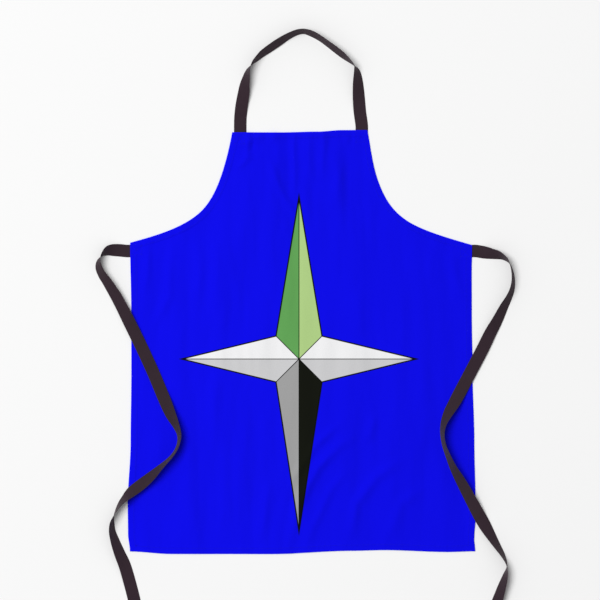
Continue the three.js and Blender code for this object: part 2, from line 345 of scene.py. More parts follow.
@dataclass(frozen=True)
class ClothFinish:
    """Smooth woven polyester, printed edge to edge on the front and plain on the back."""

    front: Colour = (0.0030, 0.0026, 0.745, 1)
    back: Colour = (0.50, 0.50, 0.66, 1)
    thread_pitch: float = 0.0007
    hem: float = 0.013
    stitch_line: float = 0.011
    pucker_pitch: float = 0.011
    # painted shade: the front's colour is painted lighter on the left and darker on the right, as light
    # from the left falls off
    painted_light_falloff: float = 0.12
    star: StarPrint = StarPrint()
    sheen: Sheen = Sheen(0.03, 0.5, (0.5, 0.55, 1.0, 1))

    def _relief(self, graph: Graph, x: Term, y: Term, flat: object, edge: Term) -> Term:
        """The height of the rucks, the weave, the hem and the puckers along its stitches.

        Args:
            graph: the cloth's graph.
            x: the place across the cloth, in metres.
            y: the place up the cloth, in metres.
            flat: the same place, as a socket.
            edge: the distance from the cloth's edge.

        Returns:
            The height, in metres.
        """
        weave = x.wave(self.thread_pitch) * y.wave(self.thread_pitch) * 0.00003
        slub = graph.noise(graph.stretched(flat, 1.0, 0.08), 900.0, 1.0) * 0.00006
        slub += graph.noise(graph.stretched(flat, 0.08, 1.0), 900.0, 1.0) * 0.00006
        ruck = graph.noise(graph.stretched(flat, 1.0, 0.16), 15.0, 1.0) * 0.0170
        ruck += graph.noise(graph.stretched(flat, 1.0, 0.30), 34.0, 1.0) * 0.0030
        lively = y.above(0.19, 0.09).math("MAXIMUM", x.bell(-0.12, 0.10))
        ruck *= lively * 0.45 + 0.60
        ledge = (-edge).above(-self.hem, 0.0009) * 0.00040
        seam = edge.bell(self.stitch_line, 0.0012) * -0.00015
        wander = graph.noise(flat, 40.0, 1.0) * 5.0
        pucker = (graph.attribute("along") * (2 * math.pi / self.pucker_pitch) + wander).math("SINE")
        pucker *= edge.bell(self.stitch_line, 0.005) * 0.00010
        return weave + slub + ruck + ledge + seam + pucker

    def build(self) -> bpy.types.Material:
        """Makes the cloth's material.

        Returns:
            The material.
        """
        material, graph = shader("printed_cloth")
        place = graph.place()
        x, y = graph.split(place)
        flat = graph.stretched(place, 1.0, 1.0)
        edge = graph.attribute("edge")
        printed = self.star.paint(graph, x, y, self.front)
        turned = (-edge).above(-self.hem, 0.0002)
        plain = graph.mix(turned, self.back, self.front)
        colour = graph.mix(graph.attribute("front").above(0.5, 0.1), plain, printed)
        # random dye and weave tone, plus painted shade that darkens the cloth towards the right
        dye_and_painted_falloff = graph.noise(flat, 9.0, 3.0) * 0.05 + graph.noise(flat, 420.0, 2.0) * 0.10
        dye_and_painted_falloff += x.wave(self.thread_pitch) * y.wave(self.thread_pitch) * 0.05 - x * self.painted_light_falloff
        worn = (-edge).above(-0.0012, 0.0008) * 0.10
        colour = graph.scale(colour, 1.0 + dye_and_painted_falloff + worn)
        finish_surface(graph, colour, 0.92, self._relief(graph, x, y, flat, edge), 0.05, self.sheen)
        return material


@dataclass(frozen=True)
class TapeFinish:
    """Dark herringbone twill tape with closed edges."""

    colour: Colour = (0.030, 0.017, 0.024, 1)
    rib_pitch: float = 0.0014
    half_width: float = 0.0125
    sheen: Sheen = Sheen(0.12, 0.45, (0.9, 0.8, 0.86, 1))

    def build(self) -> bpy.types.Material:
        """Makes the tape's material.

        Returns:
            The material.
        """
        material, graph = shader("woven_tape")
        lie = graph.node("ShaderNodeAttribute", {"attribute_name": "lie"}).outputs["Vector"]
        across, along = graph.split(lie)
        side = abs(across)
        selvedge = side.above(self.half_width - 0.0011, 0.0003)
        rib = (along + side * 1.1).wave(self.rib_pitch) * (1 - selvedge)
        pick = along.wave(self.rib_pitch / 2.3) * across.wave(self.rib_pitch / 1.7)
        fuzz = graph.noise(lie, 1600.0, 2.0)
        tone = 1.0 + rib * 0.14 + fuzz * 0.35 + graph.noise(lie, 35.0, 2.0) * 0.22 + selvedge * 0.10
        height = rib * 0.00006 + pick * 0.00003 + fuzz * 0.00009 + selvedge * 0.00006
        finish_surface(graph, graph.scale(self.colour, tone), 0.85, height, 0.14, self.sheen)
        return material


class ThreadColour(Enum):
    """The colours of sewing thread on the apron."""

    CLOTH = (0.004, 0.004, 0.60, 1)
    TAPE = (0.05, 0.036, 0.045, 1)


@dataclass(frozen=True)
class ThreadFinish:
    """Satin sewing thread."""

    thread: ThreadColour
    ply_pitch: float = 0.0005

    def build(self) -> bpy.types.Material:
        """Makes the thread's material.

        Returns:
            The material.
        """
        material, graph = shader("thread_" + self.thread.name.lower())
        place = graph.place()
        x, y = graph.split(place)
        colour = graph.scale(self.thread.value, 1.0 + graph.noise(place, 600.0) * 0.4)
        finish_surface(graph, colour, 0.6, (x + y).wave(self.ply_pitch) * 0.00003, 0.15)
        return material


@dataclass(frozen=True)
class LabelFinish:
    """Blank white satin ribbon."""

    colour: Colour = (0.80, 0.79, 0.76, 1)
    rib_pitch: float = 0.0004

    def build(self) -> bpy.types.Material:
        """Makes the label's material.

        Returns:
            The material.
        """
        material, graph = shader("label_satin")
        place = graph.place()
        rib = graph.split(place)[1].wave(self.rib_pitch) * 0.00001
        colour = graph.scale(self.colour, 1.0 + graph.noise(place, 500.0) * 0.06)
        finish_surface(graph, colour, 0.45, rib, 0.4)
        return material


@dataclass(frozen=True)
class FloorFinish:
    """Plain pale matt surface."""

    colour: Colour = (0.86, 0.86, 0.86, 1)

    def build(self) -> bpy.types.Material:
        """Makes the floor's material.

        Returns:
            The material.
        """
        material, graph = shader("pale_floor")
        grain = graph.noise(graph.place(), 300.0) * 0.00001
        finish_surface(graph, self.colour, 0.9, grain, 0.1)
        return material


# ---- mesh helpers


def new_piece(
    name: str, vertices: np.ndarray, faces: Faces, material: bpy.types.Material
) -> bpy.types.Object:
    """Makes a smooth mesh object at the origin.

    Args:
        name: the piece's name.
        vertices: its points in the apron's frame, in metres.
        faces: its faces, each a row of point numbers.
        material: its finish.

    Returns:
        The object, in the scene.
    """
    mesh = bpy.data.meshes.new(name)
    mesh.from_pydata(vertices.tolist(), [], faces)
    mesh.validate()
    mesh.polygons.foreach_set("use_smooth", np.ones(len(mesh.polygons), bool))
    mesh.materials.append(material)
    made = bpy.data.objects.new(name, mesh)
    bpy.context.scene.collection.objects.link(made)
    return made


def set_attribute(piece: bpy.types.Object, name: str, values: np.ndarray) -> None:
    """Stores a number or a vector on each point of a piece.

    Args:
        piece: the mesh object.
        name: the attribute's name.
        values: one number, or one row of three, for each point.
    """
    kind, key = ("FLOAT_VECTOR", "vector") if values.ndim == 2 else ("FLOAT", "value")
    attribute = piece.data.attributes.new(name, kind, "POINT")
    attribute.data.foreach_set(key, values.astype(np.float32).ravel())


def ring_faces(rings: int, points: int) -> Faces:
    """Faces of a tube of rings, capped at both ends.

    Args:
        rings: how many rings there are.
        points: how many points each ring has.

    Returns:
        The faces, facing out when each ring turns to the left about the direction of travel.
    """
    faces: Faces = []
    for a in range(0, (rings - 1) * points, points):
        for j in range(points):
            k = (j + 1) % points
            faces.append((a + j, a + k, a + points + k, a + points + j))
    faces.append(tuple(reversed(range(points))))
    faces.append(tuple(range((rings - 1) * points, rings * points)))
    return faces


def sheet_faces(rows: int, columns: int) -> tuple[Faces, list[int]]:
    """Faces of both sides of a sheet, whose back has its points after the front's.

    Args:
        rows: how many rows of points each side has.
        columns: how many points each row has.

    Returns:
        The faces, facing out, and the front's points round its rim.
    """
    count = rows * columns
    faces: Faces = []
    for i in range(rows - 1):
        for a in range(i * columns, (i + 1) * columns - 1):
            b = a + columns
            faces.append((a, a + 1, b + 1, b))
            faces.append((count + a, count + b, count + b + 1, count + a + 1))
    rim = list(range(columns))
    rim += [i * columns + columns - 1 for i in range(1, rows)]
    rim += [(rows - 1) * columns + j for j in range(columns - 2, -1, -1)]
    rim += [i * columns for i in range(rows - 2, 0, -1)]
    return faces, rim


def smoothstep(low: float, high: float, value: np.ndarray) -> np.ndarray:
    """Goes smoothly from 0 at low to 1 at high."""
    t = np.clip((value - low) / (high - low), 0.0, 1.0)
    return t * t * (3 - 2 * t)


def distances(line: np.ndarray) -> np.ndarray:
    """How far along a flat line of points each point is."""
    return np.concatenate([[0], np.cumsum(np.hypot(*np.diff(line[:, :2], axis=0).T))])


def nearest(line: np.ndarray, x: np.ndarray, y: np.ndarray) -> tuple[np.ndarray, np.ndarray]:
    """Where on a line of points places are nearest to it.

    Args:
        line: the line's points, as rows of x and y.
        x: places across.
        y: places up.

    Returns:
        The distance to the line, and the distance along it.
    """
    best, along, done = np.full(x.shape, np.inf), np.zeros(x.shape), 0.0
    for (ax, ay), (bx, by) in zip(line[:-1], line[1:]):
        length = math.hypot(bx - ax, by - ay)
        if length < 1e-9:
            continue
        t = np.clip(((x - ax) * (bx - ax) + (y - ay) * (by - ay)) / length**2, 0, 1)
        gap = np.hypot(x - ax - t * (bx - ax), y - ay - t * (by - ay))
        nearer = gap < best
        best, along = np.where(nearer, gap, best), np.where(nearer, done + t * length, along)
        done += length
    return best, along


# ---- the cloth's shape


@dataclass(frozen=True)
class Fold:
    """A soft ridge or hollow in the cloth along a line of points."""

    line: tuple[Point, ...]
    height: float
    width: float
    fade: float = 0.35

    def at(self, x: np.ndarray, y: np.ndarray) -> np.ndarray:
        """How far the fold lifts the cloth.

        Args:
            x: places across the cloth.
            y: places up the cloth.

        Returns:
            The lift at each place, in metres.
        """
        points = np.array(self.line)
        gap, along = nearest(points, x, y)
        where = along / distances(points)[-1]
        ends = smoothstep(0.0, self.fade, where) * smoothstep(0.0, self.fade, 1 - where)
        return self.height * ends * np.exp(-((gap / self.width) ** 2))


@dataclass(frozen=True)
class Drift:
    """How far an edge of the soft cloth lies from its straight cut, at places along it."""

    stops: tuple[Point, ...]

    def at(self, where: np.ndarray) -> np.ndarray:
        """The drift at places along the edge.

        Args:
            where: the places.

        Returns:
            The drift at each place, in metres.
        """
        total = np.full(where.shape, self.stops[0][1])
        for (a, before), (b, after) in zip(self.stops[:-1], self.stops[1:]):
            total = total + (after - before) * smoothstep(a, b, where)
        return total


@dataclass
class ClothShape:
    """The lie of the panel: its outline, its soft folds and its thickness, in metres."""

    half_width: float
    low: float
    high: float
    bib_half: float = 0.136
    armhole_depth: float = 0.224
    hem: float = 0.013
    cloth: float = 0.0005
    hem_thickness: float = 0.0013
    underside: float = 0.00022
    tape_bulge: float = 0.0008
    tape_fade: Point = (0.0005, 0.0050)
    low_reach: float = 0.16
    high_reach: float = 0.09
    waist_reach: float = 0.09
    waist_dip: float = 0.0023
    swell: float = 0.00045
    fold_gain: float = 2.0
    sag: float = 0.45
    tape_ends: list[tuple[Vector, Vector]] = field(default_factory=list)
    left_drift: Drift = Drift((
        (-0.420, 0.0014), (-0.385, -0.0024), (-0.325, -0.0030), (-0.200, 0.0028), (-0.060, 0.0042),
        (0.060, 0.0040), (0.196, 0.0018), (0.245, -0.0020), (0.300, -0.0032), (0.420, -0.0012),
    ))  # fmt: skip
    right_drift: Drift = Drift((
        (-0.420, 0.0050), (-0.412, 0.0042), (-0.398, 0.0028), (-0.388, 0.0031), (-0.360, 0.0051),
        (-0.335, 0.0057), (-0.200, 0.0030), (-0.060, -0.0004), (0.060, -0.0020), (0.140, -0.0022),
        (0.200, -0.0014), (0.245, -0.0070), (0.320, -0.0060), (0.420, -0.0036),
    ))  # fmt: skip
    low_drift: Drift = Drift((
        (-0.343, 0.0016), (-0.260, -0.0034), (-0.060, -0.0036), (0.100, 0.0029),
        (0.170, 0.0043), (0.290, 0.0006), (0.343, 0.0020),
    ))  # fmt: skip
    high_drift: Drift = Drift((
        (-0.136, -0.0010), (-0.040, -0.0013), (0.034, 0.0003), (0.082, 0.0033), (0.136, 0.0035),
    ))  # fmt: skip
    folds: tuple[Fold, ...] = (
        Fold(((-0.016, 0.440), (-0.015, 0.370), (-0.012, 0.270)), 0.0017, 0.007),
        Fold(((0.018, 0.440), (0.016, 0.370), (0.022, 0.300)), 0.0013, 0.009),
        Fold(((0.046, 0.436), (0.043, 0.360), (0.046, 0.320)), 0.0011, 0.008),
        Fold(((-0.106, 0.440), (-0.104, 0.400), (-0.112, 0.360)), 0.0016, 0.007),
        Fold(((-0.052, 0.440), (-0.056, 0.395)), 0.0014, 0.009),
        Fold(((-0.085, 0.388), (-0.112, 0.362), (-0.130, 0.340)), 0.0012, 0.007),
        Fold(((-0.072, 0.385), (-0.037, 0.294), (0.006, 0.225)), 0.0014, 0.008),
        Fold(((0.062, 0.400), (0.074, 0.330), (0.070, 0.260)), 0.0012, 0.011),
        Fold(((-0.172, 0.240), (-0.170, 0.130), (-0.174, 0.040)), 0.0015, 0.011),
        Fold(((-0.205, 0.225), (-0.204, 0.130), (-0.214, 0.050)), 0.0010, 0.010),
        Fold(((-0.176, -0.050), (-0.177, -0.140), (-0.170, -0.240)), 0.0018, 0.012),
        Fold(((-0.257, 0.220), (-0.267, 0.090), (-0.308, 0.010)), 0.0013, 0.010),
        Fold(((-0.305, 0.200), (-0.317, 0.080)), 0.0012, 0.009),
        Fold(((-0.100, 0.110), (-0.104, 0.000), (-0.110, -0.120)), 0.0011, 0.013),
        Fold(((-0.222, -0.160), (-0.226, -0.290), (-0.214, -0.390)), 0.0012, 0.013),
        Fold(
            ((0.126, -0.180), (0.078, -0.206), (0.034, -0.250), (-0.008, -0.330), (-0.030, -0.450)),
            0.0028,
            0.0100,
        ),
        Fold(((0.092, -0.150), (0.030, -0.205), (-0.014, -0.270), (-0.024, -0.320)), 0.0018, 0.008),
        Fold(((0.100, -0.245), (0.060, -0.295), (0.024, -0.370), (0.010, -0.430)), 0.0014, 0.009),
        Fold(((0.216, -0.225), (0.150, -0.270), (0.110, -0.325), (0.092, -0.430)), 0.0021, 0.011),
        Fold(((0.262, -0.275), (0.200, -0.325), (0.160, -0.430)), 0.0011, 0.012),
        Fold(((0.150, -0.140), (0.130, -0.210)), 0.0012, 0.009),
        Fold(((-0.060, -0.260), (-0.084, -0.410)), 0.0014, 0.011),
        Fold(((0.292, 0.200), (0.330, 0.060)), 0.0010, 0.010),
        Fold(((0.255, 0.215), (0.262, 0.100)), 0.0007, 0.010),
        Fold(((0.198, 0.160), (0.206, 0.030), (0.200, -0.060)), 0.0008, 0.013),
        Fold(((0.110, 0.120), (0.118, 0.000)), 0.0008, 0.012),
        Fold(((0.246, -0.020), (0.250, -0.150), (0.240, -0.240)), 0.0009, 0.013),
        Fold(((-0.130, 0.392), (-0.104, 0.402), (-0.070, 0.412)), 0.0014, 0.006),
        Fold(((-0.100, 0.412), (-0.088, 0.392), (-0.100, 0.368)), -0.0012, 0.007),
        Fold(((0.100, 0.412), (0.086, 0.396)), 0.0010, 0.007),
    )

    @property
    def waist(self) -> float:
        """The height of the waist corners."""
        return self.high - self.armhole_depth

    def armhole(self, count: int = 120) -> np.ndarray:
        """The right armhole's edge, from the waist corner up to the bib's corner.

        Args:
            count: how many points it has.

        Returns:
            The points, as rows of x and y.
        """
        run, rise = self.half_width - self.bib_half, self.armhole_depth
        handles = (
            (self.bib_half, self.high),
            (self.bib_half + 0.136 * run, self.high - 0.7 * rise),
            (self.half_width - 0.737 * run, self.waist + 0.186 * rise),
            (self.half_width, self.waist),
        )
        t = np.linspace(1, 0, count)[:, None]
        weights = ((1 - t) ** 3, 3 * t * (1 - t) ** 2, 3 * t**2 * (1 - t), t**3)
        return sum(w * np.array(h) for w, h in zip(weights, handles))

    def half_at(self, y: np.ndarray) -> np.ndarray:
        """Half the panel's width at heights up it."""
        edge = self.armhole()
        return np.where(y > edge[0, 1], np.interp(y, edge[:, 1], edge[:, 0]), self.half_width)

    def edge_distance(self, x: np.ndarray, y: np.ndarray) -> tuple[np.ndarray, np.ndarray]:
        """How far places are from the edge, and how far round it.

        Args:
            x: places across the cloth.
            y: places up the cloth.

        Returns:
            The distance to the edge and the distance along it.
        """
        right = self.armhole()
        corners = np.array([(-self.half_width, self.low), (self.half_width, self.low)])
        return nearest(np.vstack([corners, right, right[::-1] * (-1, 1), corners[:1]]), x, y)

    def settle(self, x: np.ndarray, y: np.ndarray) -> tuple[np.ndarray, np.ndarray]:
        """Where places on the flat cut end up, as the soft cloth isn't quite square.

        Args:
            x: places across the flat cut.
            y: places up the flat cut.

        Returns:
            The places as the cloth lies.
        """
        share = np.clip(np.abs(x) / self.half_at(y), 0, 1.05)
        near_low = 1 - smoothstep(0.0, self.low_reach, y - self.low)
        near_high = 1 - smoothstep(0.0, self.high_reach, self.high - y)
        near_waist = np.exp(-(((y - self.waist) / self.waist_reach) ** 2)) * x / self.half_width
        dy = self.low_drift.at(x) * near_low + self.high_drift.at(x) * near_high
        dx = np.where(x < 0, self.left_drift.at(y), self.right_drift.at(y)) * share**3
        return x + dx, y + dy - self.waist_dip * near_waist

    def rise(self, x: np.ndarray, y: np.ndarray) -> np.ndarray:
        """How far the cloth stands off the surface because of its soft folds.

        Args:
            x: places across the cloth.
            y: places up the cloth.

        Returns:
            The rise at each place, in metres.
        """
        waves = 0.5 + 0.5 * np.sin(2 * math.pi * (x + 0.05 * np.sin(2.6 * y)) / 0.137 + 0.6)
        waves += 0.5 + 0.5 * np.sin(2 * math.pi * (x * 0.8 - y * 0.45) / 0.211 + 2.1)
        folds = sum(fold.at(x, y) for fold in self.folds)
        return np.maximum(self.swell * waves + self.fold_gain * folds, 0.0)

    def over_tape(self, x: np.ndarray, y: np.ndarray) -> np.ndarray:
        """How far places are over a sewn tape end.

        Args:
            x: places across the cloth.
            y: places up the cloth.

        Returns:
            1 over a tape end and 0 away from it.
        """
        most = np.zeros(x.shape)
        for low, high in self.tape_ends:
            gap_x = np.maximum(np.maximum(low.x - x, x - high.x), 0)
            gap_y = np.maximum(np.maximum(low.y - y, y - high.y), 0)
            gap = np.hypot(gap_x, gap_y)
            most = np.maximum(most, 1 - smoothstep(*self.tape_fade, gap))
        return most

    def faces_at(self, x: np.ndarray, y: np.ndarray) -> tuple[np.ndarray, np.ndarray]:
        """The heights of the cloth's back and front at places on the flat cut.

        Args:
            x: places across the flat cut.
            y: places up the flat cut.

        Returns:
            The back's heights and the front's.
        """
        distance = self.edge_distance(x, y)[0]
        inner = smoothstep(self.hem - 0.001, self.hem + 0.002, distance)
        sag = inner * (self.hem_thickness - self.cloth) * self.sag
        back = self.underside + self.rise(x, y) + sag + self.over_tape(x, y) * self.tape_bulge
        return back, back + self.hem_thickness + (self.cloth - self.hem_thickness) * inner

    def holds(self, x: np.ndarray, y: np.ndarray, margin: float) -> np.ndarray:
        """Whether places are over the cloth, or within a margin of it."""
        inside = (np.abs(x) < self.half_at(y) + margin) & (y > self.low - margin)
        return inside & (y < self.high + margin)


@dataclass
class ApronCloth:
    """The body panel: printed cloth with a turned hem all round."""

    shape: ClothShape
    across: int = 170
    skirt_rows: int = 150
    bib_rows: int = 64
    rim: float = 0.0011
    edge_bulge: float = 0.0005
    area: float = 0.578

    def _grid(self) -> tuple[np.ndarray, np.ndarray]:
        """Rows and columns of places on the flat cut, with one more of each close to the edge.

        Returns:
            The places across and the places up.
        """
        shape, rim = self.shape, self.rim
        armhole = shape.armhole(self.bib_rows + 1)
        skirt_y = np.linspace(shape.low, armhole[0, 1], self.skirt_rows + 1)[:-1]
        skirt_y = np.insert(skirt_y, 1, shape.low + rim)
        y = np.concatenate([skirt_y, armhole[:, 1]])
        half = np.concatenate([np.full(len(skirt_y), shape.half_width), armhole[:, 0]])
        y = np.insert(y, len(y) - 1, shape.high - rim)
        half = np.insert(half, len(half) - 1, np.interp(shape.high - rim, *armhole.T[::-1]))
        share = np.linspace(-1, 1, self.across + 1)
        x = np.array([np.sort(np.concatenate([share * w, (-w + rim, w - rim)])) for w in half])
        return x, np.repeat(y[:, None], x.shape[1], axis=1)

    def build(self, material: bpy.types.Material) -> bpy.types.Object:
        """Makes the cloth as a closed sheet with a rounded edge.

        Args:
            material: the cloth's finish.

        Returns:
            The piece.
        """
        x, y = self._grid()
        shape = self.shape
        settled = shape.settle(x, y)
        sides = [np.stack([*settled, z], axis=-1).reshape(-1, 3) for z in shape.faces_at(x, y)]
        back, front = sides
        faces, loop = sheet_faces(*x.shape)
        count, turns = x.size, len(loop)
        line = front[loop]
        step = np.roll(line, -1, axis=0) - np.roll(line, 1, axis=0)
        out = np.stack([step[:, 1], -step[:, 0]], axis=-1)
        out /= np.maximum(np.hypot(*out.T)[:, None], 1e-9)
        middle = (line + back[loop]) / 2
        middle[:, :2] += out * self.edge_bulge
        for a in range(turns):
            b = (a + 1) % turns
            r, s = 2 * count + a, 2 * count + b
            faces.append((loop[a], r, s, loop[b]))
            faces.append((r, count + loop[a], count + loop[b], s))
        vertices = np.vstack([front, back, middle])
        piece = new_piece("apron_cloth", vertices, faces, material)
        distance, along = (values.ravel() for values in shape.edge_distance(x, y))
        set_attribute(piece, "edge", np.concatenate([distance, distance, np.zeros(turns)]))
        set_attribute(piece, "along", np.concatenate([along, along, along[loop]]))
        facing = np.concatenate([np.ones(count), np.zeros(count), np.ones(turns)])
        set_attribute(piece, "front", facing)
        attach(piece, "panel")
        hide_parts("body_panel")
        log.info("cloth: %d faces", len(faces))
        return piece


# ---- tape


class Way(Enum):
    """Which of the apron's two ties a piece of tape is."""

    LEFT = "left"
    RIGHT = "right"


LEFT_TIE_ROUTE: tuple[Row, ...] = (
    (0, 0, 0.1, 0), (-6, 0, 0.1, 0), (-21, 1.4, 0.1, -6), (-39, 1, 0.1, -28),
    (-49, -4, 0.1, -60), (-57.4, -11.6, 0.1, -90), (-61.4, -20.6, 0.1, -109),
    (-61.2, -32, 0.1, -124), (-55.4, -46, 0.2, -132), (-44.4, -62, 1.2, -141),
    (-22.6, -98, 3.2, -157), (1.6, -146, 3.4, -172), (25, -194, 3.4, -180),
    (47, -242, 3.4, -180), (67, -290, 3.4, -176), (82, -326, 3.4, -150), (93.6, -350, 3.4, -124),
    (99.4, -367, 3.4, -112), (98.2, -384, 3.4, -105), (92.2, -399, 3.4, -103),
    (83.6, -411, 3.4, -104), (71.8, -423, 3.4, -109), (60, -434, 3.4, -119),
    (47.6, -446, 3.4, -133), (34, -458, 3.4, -146), (19, -470, 3.4, -153),
    (4.6, -481, 3.4, -147), (-9, -494, 2.2, -124), (-19.8, -507, 0.4, -109),
    (-31, -529, 0.1, -90), (-34.4, -544, 0.1, -70), (-34.2, -560, 0.1, -59),
    (-28.6, -580, 0.1, -45), (-19.8, -604, 0.1, -29), (-9.8, -628, 0.1, -13),
    (0.2, -662, 0.1, -2), (9.4, -698, 0.1, 0), (32, -808, 0.1, 0),
)  # fmt: skip

RIGHT_TIE_ROUTE: tuple[Row, ...] = (
    (0, 0, 0.1, 0), (6, 0, 0.1, 0), (19, -2, 0.1, 5), (37.6, -5.6, 0.1, 33),
    (50, -8, 0.1, 46), (61, -12.6, 0.1, 66), (69, -18.4, 0.1, 78),
    (73.4, -24.4, 0.1, 90), (78, -35, 0.1, 98), (80.8, -50, 0.1, 104),
    (81, -64, 0.1, 109), (78, -80, 0.1, 116), (71.6, -95, 0.1, 123),
    (62.6, -112, 0.2, 135), (49.8, -138, 1.4, 149), (35, -165, 3, 165),
    (21, -194, 3.4, 177), (-4, -242, 3.4, 180), (-23, -278, 3.4, 184),
    (-36, -302, 3.4, 200), (-50, -326, 3.4, 223), (-57, -342, 3.4, 238),
    (-60.4, -358, 3.4, 248), (-60, -374, 3.4, 252), (-56.6, -390, 3.4, 251),
    (-49, -410, 3.4, 246), (-38.4, -434, 3.4, 235), (-25, -458, 3.4, 219),
    (-5.4, -494, 3.4, 203), (14, -530, 3, 184), (35, -566, 0.6, 145),
    (49.6, -590, 0.1, 124), (59.6, -606, 0.1, 112), (66.6, -621, 0.1, 100),
    (68.4, -632, 0.1, 90), (65, -650, 0.1, 66), (57.6, -674, 0.1, 48),
    (50, -698, 0.1, 34), (43, -720, 0.1, 14), (37, -738, 0.1, 0), (15, -808, 0.1, 0),
)  # fmt: skip

STRAP_ROUTE: tuple[Row, ...] = (
    (-121.5, 0, 0.1, 0), (-121.5, 10, 0.1, 0), (-121, 28, 0.1, 0), (-118.5, 52, 0.1, -8),
    (-114.5, 76, 0.1, -20), (-112.5, 92, 0.1, -37), (-110, 104, 0.1, -50),
    (-107.5, 116, 0.1, -65), (-104.5, 124, 0.1, -76), (-100, 131.4, 0.1, -90),
    (-94, 138.6, 0.3, -104), (-86, 146, 0.6, -114), (-77.5, 154, 1, -121),
    (-66.5, 162, 1.4, -126), (-44.5, 177, 2, -127), (-26, 188.6, 2, -120), (-6, 197.4, 2, -115),
    (7, 198.6, 2, -113), (22, 194, 2, -117), (38.5, 184.8, 2, -115), (55, 173, 1.6, -116),
    (72, 160.2, 1, -119), (86, 149, 0.6, -115), (96.5, 140, 0.3, -104), (106, 131, 0.1, -90),
    (110.5, 123.4, 0.1, -68), (112.5, 115.6, 0.1, -55), (113.8, 100, 0.1, -38),
    (114.6, 84, 0.1, -25), (116, 60, 0.1, -10), (118, 36, 0.1, 0), (121.5, 10, 0.1, 0),
    (121.5, 0, 0.1, 0),
)  # fmt: skip


SEWN_LIFT = 0.0001  # under a tape end that is sewn beneath the cloth


def in_metres(route: tuple[Row, ...]) -> np.ndarray:
    """A route's rows in metres and degrees."""
    return np.array(route, float) * (0.001, 0.001, 0.001, 1)


def through(rows: np.ndarray, step: float) -> np.ndarray:
    """A smooth line through rows of numbers, with their first two columns as places.

    Args:
        rows: the rows, in order.
        step: the distance between the line's points.

    Returns:
        Rows at even distances along the line.
    """
    gaps = np.hypot(*np.diff(rows[:, :2], axis=0).T)
    knots = np.concatenate([[0], np.cumsum(np.sqrt(gaps))])
    points = np.vstack([2 * rows[0] - rows[1], rows, 2 * rows[-1] - rows[-2]])
    times = np.concatenate([[-knots[1]], knots, [2 * knots[-1] - knots[-2]]])
    fine = []
    for i in range(1, len(points) - 2):
        t0, t1, t2, t3 = times[i - 1 : i + 3]
        p0, p1, p2, p3 = points[i - 1 : i + 3]
        for t in np.linspace(t1, t2, 24, endpoint=False):
            a1 = ((t1 - t) * p0 + (t - t0) * p1) / (t1 - t0)
            a2 = ((t2 - t) * p1 + (t - t1) * p2) / (t2 - t1)
            a3 = ((t3 - t) * p2 + (t - t2) * p3) / (t3 - t2)
            b1 = ((t2 - t) * a1 + (t - t0) * a2) / (t2 - t0)
            b2 = ((t3 - t) * a2 + (t - t1) * a3) / (t3 - t1)
            fine.append(((t2 - t) * b1 + (t - t1) * b2) / (t2 - t1))
    fine.append(points[-2])
    line = np.array(fine)
    walked = distances(line)
    even = np.linspace(0, walked[-1], max(2, int(round(walked[-1] / step)) + 1))
    return np.stack([np.interp(even, walked, column) for column in line.T], axis=-1)


